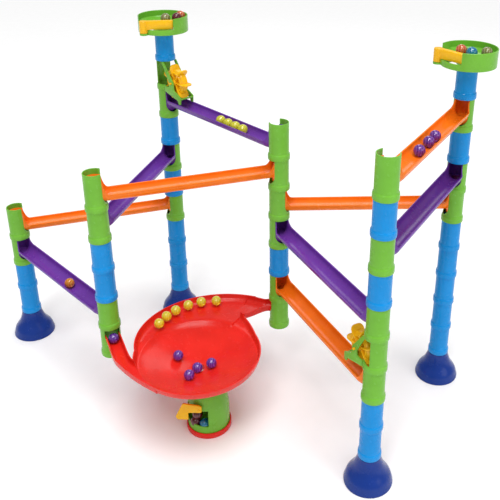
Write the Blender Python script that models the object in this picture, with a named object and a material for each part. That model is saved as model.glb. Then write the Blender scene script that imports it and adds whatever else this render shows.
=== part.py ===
"""Marble run: six towers of stacking tubes joined by ten chutes, a swirl funnel over a catch cup,
two starting trays with swinging gates and two marble-driven paddle wheels. Metres, +Z up."""

import math

import bmesh
import bpy
from mathutils import Matrix, Vector

MM = 0.001

# The stacking system
PITCH = 50 * MM                 # height that one tube adds to a tower
TUBE_R = 15.2 * MM              # outside of a tube
BORE_R = 13.6 * MM              # the marble shaft inside it
COLLAR_R = 16.8 * MM            # outside of the socket collar at a tube's lower end
COLLAR_H = 10 * MM
SOCKET_R = 15.5 * MM            # the collar slips over the tube below it
SOCKET_DEEP = 9 * MM
SPIGOT_H = 8.5 * MM             # top of a tube that stands inside the next collar
TUBE_SIDES = 12
FOOT_H = 47 * MM                # floor to the lowest collar
FOOT_R = 35 * MM

# Side windows that the chutes plug into
SILL = 10.5 * MM                # window sill above the collar's lower edge

# Chutes
SPAN = 270 * MM                 # tower axis to tower axis, the same for every chute
CHUTE_HALF = 15 * MM            # half the outside width of a trough, as wide as a tube
CHUTE_NECK = 11.2 * MM          # the same where it enters a window
CHUTE_DEEP = 14 * MM            # rail top to underside
CHUTE_BELLY = 12.5 * MM         # height of its round bottom
CHUTE_WALL = 1.6 * MM
TROUGH_STEPS = 8                # facets round the bottom
HIGH_RAIL = 35 * MM             # rail top above the collar's lower edge, upper end
LOW_RAIL = 27 * MM              # the same at the lower end
SLEEVE_R = 12.8 * MM            # the sleeve that sits in a tube's bore
SLEEVE_WALL = 1.3 * MM
SLEEVE_TOP = 50 * MM
FLARE_IN = 9.5 * MM             # from here in, a trough's walls reach the window's top
FLARE_MID = 13 * MM
FLARE_OUT = 20 * MM             # where a rail starts to rise and a trough to narrow
FLARE_STEP = 5 * MM             # how far the rail has risen at the middle
FLARE_WIDE = 1.5 * MM           # how much wider than the neck a trough is there
HOLE_R = 8.6 * MM               # drop hole that lets a marble fall past a chute

# Plan: two rigid lattices of equal triangles, hinged on tower C
LATTICE_1 = math.radians(17)    # direction of B to C and of A to D
LATTICE_2 = math.radians(0)     # direction of C to F
SIXTY = math.radians(60)

# Funnel: a round bowl whose back swells into the wide channel from tower C
BOWL_R = 95.5 * MM
BOWL_WALL = 1.8 * MM
BOWL_RIM = 130 * MM
BOWL_LIP = 9 * MM               # height of the upright wall round the bowl
BOWL_FLOOR = 99 * MM            # top of the bowl at its hole
BOWL_HOLE_R = 9.5 * MM
BOWL_SIDES = 40
SWELL = 66 * MM                 # how far the back wall stands out where the channel enters
SWELL_START = math.radians(60)
SWELL_END = math.radians(180)
SWELL_RISE = 5 * MM
CUSP = 18 * MM                  # how far the rim runs out to the channel's inner wall
CUSP_SWEEP = math.radians(35)
ARM_TOP = 38 * MM               # rail top where a channel enters its tube
ARM_HALF = 12 * MM              # half the outside width of the channel from tower B
ARM_DEEP = 12.5 * MM
ARM_SWING = 28 * MM             # how far out that channel starts to close on the bowl
ARM_DROP = 4 * MM

# Catch cup
CUP_R = 32 * MM
CUP_TOP = 90 * MM
CUP_WALL = 2 * MM
CUP_BASE_R = 34.5 * MM
CUP_BASE_H = 9 * MM
POCKET_FLOOR = 12 * MM
POCKET_LIP = 21 * MM
POCKET_HIGH = 50 * MM
POCKET_LEFT = 29 * MM
POCKET_RIGHT = 4 * MM
CUP_FACES = math.radians(-98)   # the way that the pocket opens
FLAP_T = 3 * MM
FLAP_UP = 54 * MM
FLAP_SIDE = -5 * MM
FLAP_OUT = 2 * MM
FLAP_PIN_R = 2 * MM
FLAP_PIN_LONG = 9 * MM

# Starting trays
TRAY_R = 40.5 * MM
TRAY_WALL = 1.8 * MM
TRAY_SOCKET_R = 16.6 * MM
TRAY_LOW = -1 * MM              # lower edge of the tray's skirt, from the tube's shoulder
TRAY_RIM = 25 * MM
TRAY_FLOOR = 14 * MM
TRAY_PLATE = 3.5 * MM
TRAY_HOLE_R = 9 * MM
GATE_REACH = 25 * MM            # tray axis to the flat that the gate closes
GATE_LEFT = 32 * MM             # pivot to the tray's middle line
GATE_LONG = 47 * MM
GATE_DEEP = 8 * MM
GATE_TALL = 14 * MM
GATE_LOW = 8 * MM
KNOB_R = 6.5 * MM
LUG_TOP = 2 * MM
LUG_LOW = -1 * MM               # underside of the lug that carries the gate's pivot

# Paddle wheels
WHEEL_R = 30 * MM
WHEEL_OUT = 29.5 * MM             # tower axis to wheel axle
WHEEL_UP = 16.5 * MM            # axle above the wheel tube's lower edge
WHEEL_HUB_R = 5 * MM
PADDLES = 7
PADDLE_HALF = 8 * MM
PADDLE_T = 2.2 * MM
AXLE_R = 1.8 * MM
AXLE_HALF = 16 * MM
AXLE_PLAY = 0.3 * MM
CHEEK_IN = 11.8 * MM            # inner face of a bracket cheek from the wheel's middle plane
CHEEK_T = 2 * MM

GAP = 0.3 * MM

# Tower C's place makes the middle of the object's box the origin.
TOWER_C = Vector((90.2 * MM, 22.1 * MM))


def along(angle, distance=SPAN):
    return Vector((math.cos(angle), math.sin(angle))) * distance


def towers():
    c = TOWER_C
    b = c - along(LATTICE_1)
    d = b + along(LATTICE_1 + SIXTY)
    return {
        "A": d - along(LATTICE_1),
        "B": b,
        "C": c,
        "D": d,
        "E": c + along(LATTICE_2 - SIXTY),
        "F": c + along(LATTICE_2),
    }


TOWERS = towers()

# upper tower, lower tower, level, colour, whether the upper end has a drop hole
CHUTES = (
    ("D", "A", 4, "orange", False),
    ("C", "B", 7, "orange", False),
    ("F", "C", 6, "orange", False),
    ("A", "B", 3, "purple", False),
    ("D", "B", 6, "purple", True),
    ("D", "C", 8, "purple", False),
    ("C", "E", 5, "purple", False),
    ("F", "E", 7, "purple", True),
    ("C", "E", 3, "orange", True),
    ("F", "E", 9, "orange", False),
)

# tower, lowest level, number of tubes: the plain blue runs
BLUE_RUNS = (
    ("A", 1, 2), ("B", 4, 2), ("C", 4, 1), ("D", 1, 3), ("D", 5, 1), ("D", 7, 1), ("D", 10, 1),
    ("E", 1, 2), ("E", 6, 1), ("E", 8, 1), ("F", 1, 5), ("F", 8, 1), ("F", 10, 1),
)
FEET = ("A", "D", "E", "F")
TRAYS = (("D", math.radians(282)), ("F", math.radians(222)))
WHEELS = (("D", "C", 9), ("E", "C", 4))
FUNNEL_WINDOWS = (("B", 2, math.radians(-60)), ("C", 2, math.radians(165)))
BOWL_FROM_C = Vector((-118.5 * MM, -118 * MM))
CUP_FROM_C = Vector((-104.5 * MM, -127 * MM))

COLOURS = {
    "blue": (0.01, 0.33, 0.76),
    "green": (0.17, 0.52, 0.06),
    "orange": (0.93, 0.2, 0.01),
    "purple": (0.15, 0.04, 0.35),
    "red": (0.8, 0.03, 0.02),
    "yellow": (0.95, 0.52, 0.01),
    "navy": (0.01, 0.05, 0.28),
}


def level_z(level):
    return FOOT_H + (level - 1) * PITCH


def bearing(start, end):
    run = TOWERS[end] - TOWERS[start]
    return math.atan2(run.y, run.x)


def plastic(colour):
    material = bpy.data.materials.get(colour)
    if material is None:
        material = bpy.data.materials.new(colour)
        material.use_nodes = True
        shader = material.node_tree.nodes["Principled BSDF"]
        shader.inputs["Base Color"].default_value = (*COLOURS[colour], 1)
        shader.inputs["Roughness"].default_value = 0.28
        shader.inputs["Metallic"].default_value = 0
    return material


def add(name, bm, colour, place=Matrix.Identity(4)):
    """Makes an object of the mesh, with its normals facing out."""
    bmesh.ops.remove_doubles(bm, verts=bm.verts, dist=1e-7)
    bmesh.ops.recalc_face_normals(bm, faces=bm.faces)
    mesh = bpy.data.meshes.new(name)
    bm.to_mesh(mesh)
    bm.free()
    mesh.shade_smooth()
    mesh.set_sharp_from_angle(angle=math.radians(35))
    obj = bpy.data.objects.new(name, mesh)
    obj.matrix_world = place
    obj.data.materials.append(plastic(colour))
    bpy.context.scene.collection.objects.link(obj)
    return obj


def boolean(obj, other, operation="DIFFERENCE"):
    """Adds or removes a helper, which is then left out of the render."""
    modifier = obj.modifiers.new(operation.lower(), "BOOLEAN")
    modifier.operation = operation
    modifier.object = other
    modifier.solver = "EXACT"
    other.hide_render = True
    other.display_type = "WIRE"


def spun(profile, sides, closed=True):
    """A turned solid about Z. A closed profile makes a ring; an open one starts and ends on the axis."""
    bm = bmesh.new()
    verts = [bm.verts.new((r, 0, z)) for r, z in profile]
    edges = [bm.edges.new(pair) for pair in zip(verts, verts[1:])]
    if closed:
        edges.append(bm.edges.new((verts[-1], verts[0])))
    bmesh.ops.spin(bm, geom=verts + edges, cent=(0, 0, 0), axis=(0, 0, 1), angle=math.tau,
                   steps=sides, use_merge=True)
    return bm


def prism(outline, low, high):
    """An outline in plan, drawn up from one height to another."""
    bm = bmesh.new()
    face = bm.faces.new([bm.verts.new((x, y, low)) for x, y in outline])
    top = bmesh.ops.extrude_face_region(bm, geom=[face])["geom"]
    verts = [v for v in top if isinstance(v, bmesh.types.BMVert)]
    bmesh.ops.translate(bm, vec=(0, 0, high - low), verts=verts)
    return bm


def skinned(stations):
    """A closed solid through a row of cross-sections that have the same number of points."""
    bm = bmesh.new()
    rings = [[bm.verts.new(point) for point in station] for station in stations]
    for first, second in zip(rings, rings[1:]):
        for i in range(len(first)):
            j = (i + 1) % len(first)
            bm.faces.new((first[i], first[j], second[j], second[i]))
    bm.faces.new(rings[0])
    bm.faces.new(list(reversed(rings[-1])))
    return bm


def at(xy, z, angle=0.0):
    return Matrix.Translation((xy[0], xy[1], z)) @ Matrix.Rotation(angle, 4, "Z")


def slot(half, reach):
    """Plan outline of a parallel slot from the axis out along +X."""
    return [(0, -half), (reach, -half), (reach, half), (0, half)]


# ---- towers ----

def tube_profile(count):
    """Outside and bore of a run of tubes: a collar at the foot of each and a socket in the lowest."""
    points = [(SOCKET_R, 0), (COLLAR_R, 0)]
    for k in range(count):
        base = k * PITCH
        if k:
            points += [(TUBE_R, base), (COLLAR_R, base)]
        points += [(COLLAR_R, base + COLLAR_H - 1 * MM), (TUBE_R, base + COLLAR_H)]
    top = count * PITCH + SPIGOT_H
    points += [(TUBE_R, top), (BORE_R, top), (BORE_R, SOCKET_DEEP), (SOCKET_R, SOCKET_DEEP)]
    return points


def window_cutter(name, place, top, sill=SILL):
    bm = prism(slot(CHUTE_NECK + GAP, 2 * TUBE_R), sill, top)
    return add(name, bm, "green", place)


def make_blue_runs():
    for tower, level, count in BLUE_RUNS:
        last = level + count - 1
        name = f"blue_tube_{tower}{level}" + (f"_to_{tower}{last}" if count > 1 else "")
        add(name, spun(tube_profile(count), TUBE_SIDES), "blue", at(TOWERS[tower], level_z(level)))


def windows():
    """Every windowed tube and the bearing that its window faces."""
    found = {}
    for upper, lower, level, _, _ in CHUTES:
        found[upper, level] = bearing(upper, lower)
        found[lower, level] = bearing(lower, upper)
    for tower, level, angle in FUNNEL_WINDOWS:
        found[tower, level] = angle
    return found


def make_window_tubes():
    faced = windows()
    for (tower, level), angle in sorted(faced.items()):
        if (tower, level) == ("F", 7):
            continue
        pair = (tower, level) == ("F", 6)
        place = at(TOWERS[tower], level_z(level))
        name = "green_tube_F6_F7" if pair else f"green_tube_{tower}{level}"
        tube = add(name, spun(tube_profile(2 if pair else 1), TUBE_SIDES), "green", place)
        if pair:
            turned = place @ Matrix.Rotation(angle, 4, "Z")
            boolean(tube, window_cutter(name + "_lower_window", turned, PITCH))
            place = at(TOWERS[tower], level_z(level + 1))
            angle = faced[tower, level + 1]
        turned = place @ Matrix.Rotation(angle, 4, "Z")
        sill = ARM_TOP - ARM_DEEP - GAP if (tower, level, angle) in FUNNEL_WINDOWS else SILL
        boolean(tube, window_cutter(name + "_window", turned, PITCH + 2 * SPIGOT_H, sill))


def make_feet():
    outer = [(FOOT_R, 0), (FOOT_R, 4 * MM), (FOOT_R - 3 * MM, 13 * MM), (26 * MM, 22 * MM),
             (20 * MM, 33 * MM), (COLLAR_R, 43 * MM), (COLLAR_R, FOOT_H - GAP), (TUBE_R, FOOT_H - GAP)]
    top = FOOT_H + SPIGOT_H
    inner = [(TUBE_R, top), (BORE_R, top), (BORE_R, 42 * MM), (FOOT_R - 9 * MM, 16 * MM),
             (FOOT_R - 2.5 * MM, 0)]
    for tower in FEET:
        add(f"foot_{tower}", spun(outer + inner, TUBE_SIDES), "navy", at(TOWERS[tower], 0))


# ---- chutes ----

def half_round(half, low, rise):
    """The round bottom of a trough, from its left side to its right."""
    turns = [math.pi * k / TROUGH_STEPS for k in range(TROUGH_STEPS + 1)]
    return [(half * math.cos(turn), low + rise * (1 - math.sin(turn))) for turn in turns]


def trough_section(x, half, rail, base):
    """Cross-section of the trough at x: outside from the left rail round to the right, then inside."""
    outside = [(half, rail)] + half_round(half, base, CHUTE_BELLY) + [(-half, rail)]
    inner, rise = half - CHUTE_WALL, CHUTE_BELLY - CHUTE_WALL
    inside = [(inner, rail)] + half_round(inner, base + CHUTE_WALL, rise) + [(-inner, rail)]
    return [(x, y, z) for y, z in outside + inside[::-1]]


def sleeve_profile(low):
    return [(SLEEVE_R - SLEEVE_WALL, low), (SLEEVE_R, low), (SLEEVE_R, SLEEVE_TOP),
            (SLEEVE_R - SLEEVE_WALL, SLEEVE_TOP)]


def rail_height(x):
    """Rail top along a chute, before the flares at its ends."""
    return HIGH_RAIL + (LOW_RAIL - HIGH_RAIL) * x / SPAN


def make_chute(upper, lower, level, colour, has_hole):
    name = f"chute_{colour}_{upper}_to_{lower}_{level}"
    place = at(TOWERS[upper], level_z(level), bearing(upper, lower))
    crown = PITCH - GAP
    stations = []
    ends = (6 * MM, FLARE_IN, FLARE_MID, FLARE_OUT)
    for reach, x in [(end, end) for end in ends] + [(end, SPAN - end) for end in reversed(ends)]:
        rail, half = rail_height(x), CHUTE_HALF
        if reach <= FLARE_IN:
            rail, half = crown, CHUTE_NECK
        elif reach == FLARE_MID:
            rail, half = rail + FLARE_STEP, CHUTE_NECK + FLARE_WIDE
        base = SILL + GAP if x <= FLARE_IN else rail_height(x) - CHUTE_DEEP
        stations.append(trough_section(x, half, rail, base))
    chute = add(name, skinned(stations), colour, place)
    mouth = CHUTE_NECK - CHUTE_WALL
    low_end = rail_height(SPAN) - CHUTE_DEEP
    for end, x, foot in (("high", 0, SILL + GAP), ("low", SPAN, low_end)):
        turned = place @ at((x, 0), 0, 0 if end == "high" else math.pi)
        sleeve = add(f"{name}_{end}_sleeve", spun(sleeve_profile(foot), TUBE_SIDES), colour, turned)
        opening = prism(slot(mouth, 2 * SLEEVE_R), 0, PITCH + COLLAR_H)
        boolean(sleeve, add(f"{name}_{end}_mouth", opening, colour, turned))
        boolean(chute, sleeve, "UNION")
    floor_z = rail_height(0) - CHUTE_DEEP
    reach = SLEEVE_R - 0.4 * MM
    disc = [(0, floor_z), (reach, floor_z), (reach, floor_z + CHUTE_WALL), (0, floor_z + CHUTE_WALL)]
    boolean(chute, add(name + "_floor", spun(disc, TUBE_SIDES, closed=False), colour, place), "UNION")
    if has_hole:
        drill = [(0, 0), (HOLE_R, 0), (HOLE_R, rail_height(0)), (0, rail_height(0))]
        boolean(chute, add(name + "_hole", spun(drill, TUBE_SIDES, closed=False), colour, place))


def make_chutes():
    for chute in CHUTES:
        make_chute(*chute)


# ---- funnel ----

def swell(angle):
    """How far the bowl's wall stands outside its circle at an angle about its centre."""
    turn = (angle - SWELL_START) % math.tau
    back = SWELL * max(0.0, 1 - turn / (SWELL_END - SWELL_START))
    cusp = CUSP * max(0.0, 1 - (math.tau - turn) / CUSP_SWEEP) ** 1.5
    return back + cusp


def bowl_solid(profile, trim=0.0):
    """A solid bowl from the axis out: (share of the radius, height) pairs, swollen at the back."""
    bm = bmesh.new()
    rings = []
    for k in range(BOWL_SIDES):
        angle = SWELL_START + 0.01 + (math.tau - 0.02) * k / (BOWL_SIDES - 1)
        out = swell(angle)
        rise = SWELL_RISE * min(1.0, out / SWELL)
        ring = []
        for share, z in profile:
            outward = max(0.0, 2.5 * share - 1.5)
            r = share * BOWL_R + out * outward - trim
            ring.append(bm.verts.new((r * math.cos(angle), r * math.sin(angle), z + rise * outward)))
        rings.append(ring)
    low = bm.verts.new((0, 0, profile[0][1]))
    high = bm.verts.new((0, 0, profile[-1][1]))
    for k in range(BOWL_SIDES):
        first, second = rings[k], rings[(k + 1) % BOWL_SIDES]
        bm.faces.new((low, second[0], first[0]))
        bm.faces.new((high, first[-1], second[-1]))
        for i in range(len(profile) - 1):
            bm.faces.new((first[i], second[i], second[i + 1], first[i + 1]))
    return bm


def channel(stations, trim, low, high):
    """A bar through stations of (outer point, inner point, rail top), from low to high about the rail."""
    rings = []
    for outer, inner, top in stations:
        side = (outer - inner).normalized()
        a, b = outer - side * trim, inner + side * trim
        third = (a - b) / 4
        corner = top + low + 4 * MM
        points = [(a, top + high), (a, corner), (a - third, top + low), (b + third, top + low), (b, corner),
                  (b, top + high)]
        rings.append([(point.x, point.y, z) for point, z in points])
    return skinned(rings)


def width_ends(point, heading, half):
    """The left and right ends of a channel's width, looking along it."""
    side = along(heading + math.pi / 2, half)
    return point + side, point - side


def arm_stations(tower, angle, centre, start):
    """The channel from a tower's bore to the bowl, in the bowl's own frame."""
    axis = TOWERS[tower] - centre
    top = level_z(2) + ARM_TOP
    stations = []
    for reach in (start, FLARE_OUT):
        left, right = width_ends(axis + along(angle, reach), angle, CHUTE_NECK)
        stations.append((right, left, top))
    if tower == "C":
        rim = BOWL_RIM + SWELL_RISE - 0.5 * MM
        for past in (-0.05, 0.08):
            wall = BOWL_R + swell(SWELL_START + max(past, 0))
            outer = along(SWELL_START + past, wall - 0.5 * MM)
            stations.append((outer, along(SWELL_START + past, BOWL_R + CUSP - 2 * MM), rim))
        return stations
    for k, degrees in enumerate((190, 200, 210, 220, 230, 240)):
        spoke = along(math.radians(degrees), 1)
        middle = BOWL_R - ARM_HALF - 0.5 * MM + ARM_SWING * (1 - k / 5) ** 2
        height = BOWL_RIM - 0.5 * MM + ARM_DROP * (1 - k / 5)
        stations.append((spoke * (middle + ARM_HALF), spoke * (middle - ARM_HALF), height))
    return stations


def make_funnel():
    centre = TOWER_C + BOWL_FROM_C
    place = at(centre, 0)
    lip = BOWL_RIM - BOWL_LIP
    near = 2 * BOWL_HOLE_R / BOWL_R
    outer = [(near, BOWL_FLOOR - BOWL_WALL), (0.95, lip - 2 * BOWL_WALL), (0.98, lip), (1.0, BOWL_RIM)]
    inner = [(near, BOWL_FLOOR), (0.925, lip - BOWL_WALL), (0.98, lip + 2 * MM), (1.0, BOWL_RIM),
             (1.0, BOWL_RIM + 30 * MM)]
    funnel = add("swirl_funnel", bowl_solid(outer), "red", place)
    hollows = [add("swirl_funnel_hollow", bowl_solid(inner, BOWL_WALL), "red", place)]
    for tower, _, angle in FUNNEL_WINDOWS:
        stations = arm_stations(tower, angle, centre, 4 * MM)
        arm = add(f"funnel_arm_{tower}", channel(stations, 0, -ARM_DEEP, 0), "red", place)
        boolean(funnel, arm, "UNION")
        stations = arm_stations(tower, angle, centre, -4 * MM)
        inside = channel(stations, BOWL_WALL, BOWL_WALL - ARM_DEEP, 30 * MM)
        hollows.append(add(f"funnel_arm_{tower}_hollow", inside, "red", place))
    drill = [(0, 0), (BOWL_HOLE_R, 0), (BOWL_HOLE_R, BOWL_RIM), (0, BOWL_RIM)]
    hollows.append(add("swirl_funnel_hole", spun(drill, 16, closed=False), "red", place))
    for hollow in hollows:
        boolean(funnel, hollow)


# ---- catch cup ----

def make_catch_cup():
    centre = TOWER_C + CUP_FROM_C
    place = at(centre, 0, CUP_FACES)
    floor = 3 * MM
    seat = CUP_BASE_R - 2 * MM
    ring = [(0, 0), (CUP_BASE_R, 0), (CUP_BASE_R, CUP_BASE_H), (seat, CUP_BASE_H), (seat, floor), (0, floor)]
    add("catch_cup_base", spun(ring, 24, closed=False), "red", place)
    shape = ((0, 0), (CUP_R, 0), (CUP_R, 34 * MM), (CUP_R - 2 * MM, 50 * MM), (CUP_R - 6 * MM, 64 * MM),
             (CUP_R - 14 * MM, 78 * MM), (0, CUP_TOP - floor))
    shell = [(r, z + floor + GAP) for r, z in shape]
    cup = add("catch_cup", spun(shell, 24, closed=False), "green", place)
    hollow = [(max(r - CUP_WALL, 0), max(z + floor - CUP_WALL, POCKET_FLOOR)) for r, z in shape]
    boolean(cup, add("catch_cup_inside", spun(hollow, 24, closed=False), "green", place))
    opening = [(0, -POCKET_LEFT), (2 * CUP_R, -POCKET_LEFT), (2 * CUP_R, POCKET_RIGHT), (0, POCKET_RIGHT)]
    boolean(cup, add("catch_cup_opening", prism(opening, POCKET_LIP, POCKET_HIGH), "green", place))
    inlet = [(0, 0), (BOWL_HOLE_R, 0), (BOWL_HOLE_R, 40 * MM), (0, 40 * MM)]
    above = at(TOWER_C + BOWL_FROM_C, POCKET_HIGH + 10 * MM)
    boolean(cup, add("catch_cup_inlet", spun(inlet, 12, closed=False), "green", above))
    room = FLAP_PIN_R + GAP
    bore = [(0, -2 * FLAP_PIN_LONG), (room, -2 * FLAP_PIN_LONG), (room, 1 * MM), (0, 1 * MM)]
    boolean(cup, add("catch_cup_pin_hole", spun(bore, 12, closed=False), "green", flap_place()))


def flap_place():
    """On the flap's pin, with Z along it and out of the cup."""
    front = at(TOWER_C + CUP_FROM_C, FLAP_UP, CUP_FACES)
    turned = Matrix.Rotation(math.pi / 2, 4, "Z") @ Matrix.Rotation(math.pi / 2, 4, "X")
    return front @ Matrix.Translation((CUP_R + FLAP_OUT, FLAP_SIDE, 0)) @ turned


def make_flap():
    """A rocking flap that hangs on a pin in front of the cup."""
    shape = ((4, 6), (-1, 8), (-25, 9), (-37, -17), (-34, -22), (-17, -20), (-17, -7), (-2, -5), (4, -4))
    outline = [(x * MM, y * MM) for x, y in shape]
    flap = add("catch_cup_flap", prism(outline, -FLAP_T, 0), "yellow", flap_place())
    pin = [(0, -FLAP_PIN_LONG), (FLAP_PIN_R, -FLAP_PIN_LONG), (FLAP_PIN_R, 1 * MM), (0, 1 * MM)]
    boolean(flap, add("catch_cup_flap_pin", spun(pin, 12, closed=False), "yellow", flap_place()), "UNION")


# ---- starting trays ----

def make_tray(tower, faces):
    """A round dish whose wall runs straight on at the left to the gate's pivot."""
    place = at(TOWERS[tower], level_z(11), faces)
    under = TRAY_FLOOR - TRAY_PLATE
    inside = TRAY_R - TRAY_WALL
    body = [(SOCKET_R, 0), (TRAY_SOCKET_R, 0), (TRAY_SOCKET_R, under), (inside, under), (inside, TRAY_LOW),
            (TRAY_R, TRAY_LOW), (TRAY_R, TRAY_RIM), (inside, TRAY_RIM), (inside, TRAY_FLOOR),
            (TRAY_HOLE_R, TRAY_FLOOR - 1 * MM), (TRAY_HOLE_R, SOCKET_DEEP), (SOCKET_R, SOCKET_DEEP)]
    tray = add(f"tray_{tower}", spun(body, 24), "green", place)
    corner = -GATE_LEFT - KNOB_R
    ear = [(-6 * MM, 0.985 * -TRAY_R), (GATE_REACH, corner), (GATE_REACH, -24 * MM), (-6 * MM, -24 * MM)]
    boolean(tray, add(f"tray_{tower}_ear", prism(ear, LUG_LOW, TRAY_RIM), "green", place), "UNION")
    room = [(-6 * MM, TRAY_WALL - 0.985 * TRAY_R), (2 * GATE_REACH, 1.12 * corner + TRAY_WALL),
            (2 * GATE_REACH, 0), (-6 * MM, 0)]
    high = TRAY_RIM + 5 * MM
    boolean(tray, add(f"tray_{tower}_ear_room", prism(room, TRAY_FLOOR, high), "green", place))
    side = 2 * TRAY_R
    end = GATE_LONG - GATE_LEFT + GAP
    notch = [(GATE_REACH, -side), (side, -side), (side, end), (GATE_REACH, end)]
    boolean(tray, add(f"tray_{tower}_notch", prism(notch, GATE_LOW - GAP, high), "green", place))
    pivot = place @ Matrix.Translation((GATE_REACH + GATE_DEEP / 2 + GAP, -GATE_LEFT, 0))
    swing = [(0, LUG_TOP), (KNOB_R + GAP, LUG_TOP), (KNOB_R + GAP, high), (0, high)]
    boolean(tray, add(f"tray_{tower}_knob_room", spun(swing, 16, closed=False), "green", pivot))
    seat = [(0, LUG_LOW), (KNOB_R, LUG_LOW), (KNOB_R, LUG_TOP), (0, LUG_TOP)]
    boolean(tray, add(f"tray_{tower}_lug", spun(seat, 16, closed=False), "green", pivot), "UNION")
    make_gate(tower, pivot)


def make_gate(tower, pivot):
    """A bar that lies along the tray's flat, on a pivot knob at its left end."""
    half = GATE_DEEP / 2
    top = GATE_LOW + GATE_TALL
    bar = prism([(-half, 0), (half, 0), (half, GATE_LONG), (-half, GATE_LONG)], GATE_LOW, top)
    gate = add(f"gate_{tower}", bar, "yellow", pivot)
    low = LUG_TOP + GAP
    knob = [(0, low), (KNOB_R, low), (KNOB_R, top), (0, top)]
    boolean(gate, add(f"gate_{tower}_knob", spun(knob, 16, closed=False), "yellow", pivot), "UNION")


# ---- paddle wheels ----

def cheek_outline():
    """Side view of a bracket cheek: distance out from the tower's axis, and height."""
    tip, foot = WHEEL_OUT + 24 * MM, -16 * MM
    crown = PITCH - GAP
    return [(11 * MM, 0), (tip - 8 * MM, -10 * MM), (tip - 6 * MM, foot), (tip - 1 * MM, foot),
            (tip, -4 * MM), (WHEEL_OUT + 7 * MM, 5 * MM), (WHEEL_OUT + 5 * MM, WHEEL_UP + 2 * MM),
            (11.5 * MM, crown), (6 * MM, crown), (WHEEL_OUT - 5 * MM, WHEEL_UP),
            (WHEEL_OUT - 6 * MM, 9 * MM), (11 * MM, 9 * MM)]


def upright(outline, low, high, place):
    """A plate whose outline is in the plane of the tower and the chute."""
    return prism(outline, low, high), place @ Matrix.Rotation(math.pi / 2, 4, "X")


def make_wheel_tube(tower, toward, level):
    turn = bearing(tower, toward)
    place = at(TOWERS[tower], level_z(level), turn)
    flat = at(TOWERS[tower], level_z(level))
    name = f"wheel_tube_{tower}{level}"
    tube = add(name, spun(tube_profile(1), TUBE_SIDES), "green", flat)
    wide = 2 * COLLAR_R
    gap = [(-6 * MM, -wide), (wide, -wide), (wide, wide), (-6 * MM, wide)]
    boolean(tube, add(name + "_open_side", prism(gap, COLLAR_H, PITCH), "green", place))
    sweep = prism(slot(9.5 * MM, wide), -COLLAR_H, COLLAR_H + GAP)
    boolean(tube, add(name + "_wheel_slot", sweep, "green", place))
    for side, low in (("left", -CHEEK_IN - CHEEK_T), ("right", CHEEK_IN)):
        bm, turned = upright(cheek_outline(), low, low + CHEEK_T, place)
        boolean(tube, add(f"{name}_{side}_cheek", bm, "green", turned), "UNION")
    tip = WHEEL_OUT + 24 * MM
    across = CHEEK_IN + CHEEK_T / 2
    bridge = [(tip - 3 * MM, -across), (tip, -across), (tip, across), (tip - 3 * MM, across)]
    boolean(tube, add(name + "_bridge", prism(bridge, -7.6 * MM, -5.6 * MM), "green", place), "UNION")
    bore = [(0, -30 * MM), (AXLE_R + AXLE_PLAY, -30 * MM), (AXLE_R + AXLE_PLAY, 30 * MM), (0, 30 * MM)]
    boolean(tube, add(name + "_axle_hole", spun(bore, 12, closed=False), "green", axle_place(place)))


def axle_place(place):
    axle = Matrix.Translation((WHEEL_OUT, 0, WHEEL_UP)) @ Matrix.Rotation(math.pi / 2, 4, "X")
    return place @ axle


def make_wheel(tower, toward, level):
    place = axle_place(at(TOWERS[tower], level_z(level), bearing(tower, toward)))
    profile = [(0, -AXLE_HALF), (AXLE_R, -AXLE_HALF), (AXLE_R, -PADDLE_HALF), (WHEEL_HUB_R, -PADDLE_HALF),
               (WHEEL_HUB_R, PADDLE_HALF), (AXLE_R, PADDLE_HALF), (AXLE_R, AXLE_HALF), (0, AXLE_HALF)]
    wheel = add(f"paddle_wheel_{tower}", spun(profile, 12, closed=False), "yellow", place)
    half, tip = PADDLE_HALF, WHEEL_R
    outline = [(2 * MM, -0.7 * half), (0.7 * tip, -half), (0.93 * tip, -0.75 * half), (tip, -0.3 * half),
               (tip, 0.3 * half), (0.93 * tip, 0.75 * half), (0.7 * tip, half), (2 * MM, 0.7 * half)]
    for k in range(PADDLES):
        turn = Matrix.Rotation(math.tau * k / PADDLES, 4, "Z") @ Matrix.Rotation(math.pi / 2, 4, "X")
        blade = prism(outline, -PADDLE_T / 2, PADDLE_T / 2)
        boolean(wheel, add(f"paddle_{tower}_{k}", blade, "yellow", place @ turn), "UNION")


def main():
    for obj in list(bpy.data.objects):
        bpy.data.objects.remove(obj)
    make_feet()
    make_blue_runs()
    make_window_tubes()
    make_chutes()
    make_funnel()
    make_catch_cup()
    make_flap()
    for tray in TRAYS:
        make_tray(*tray)
    for wheel in WHEELS:
        make_wheel_tube(*wheel)
        make_wheel(*wheel)


main()
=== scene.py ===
"""Marble run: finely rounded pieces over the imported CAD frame, moulded-plastic materials, glass
marbles, and a pale studio. Metres, +Z up."""

import itertools
import math

import bmesh
import bpy
from mathutils import Matrix, Vector


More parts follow.
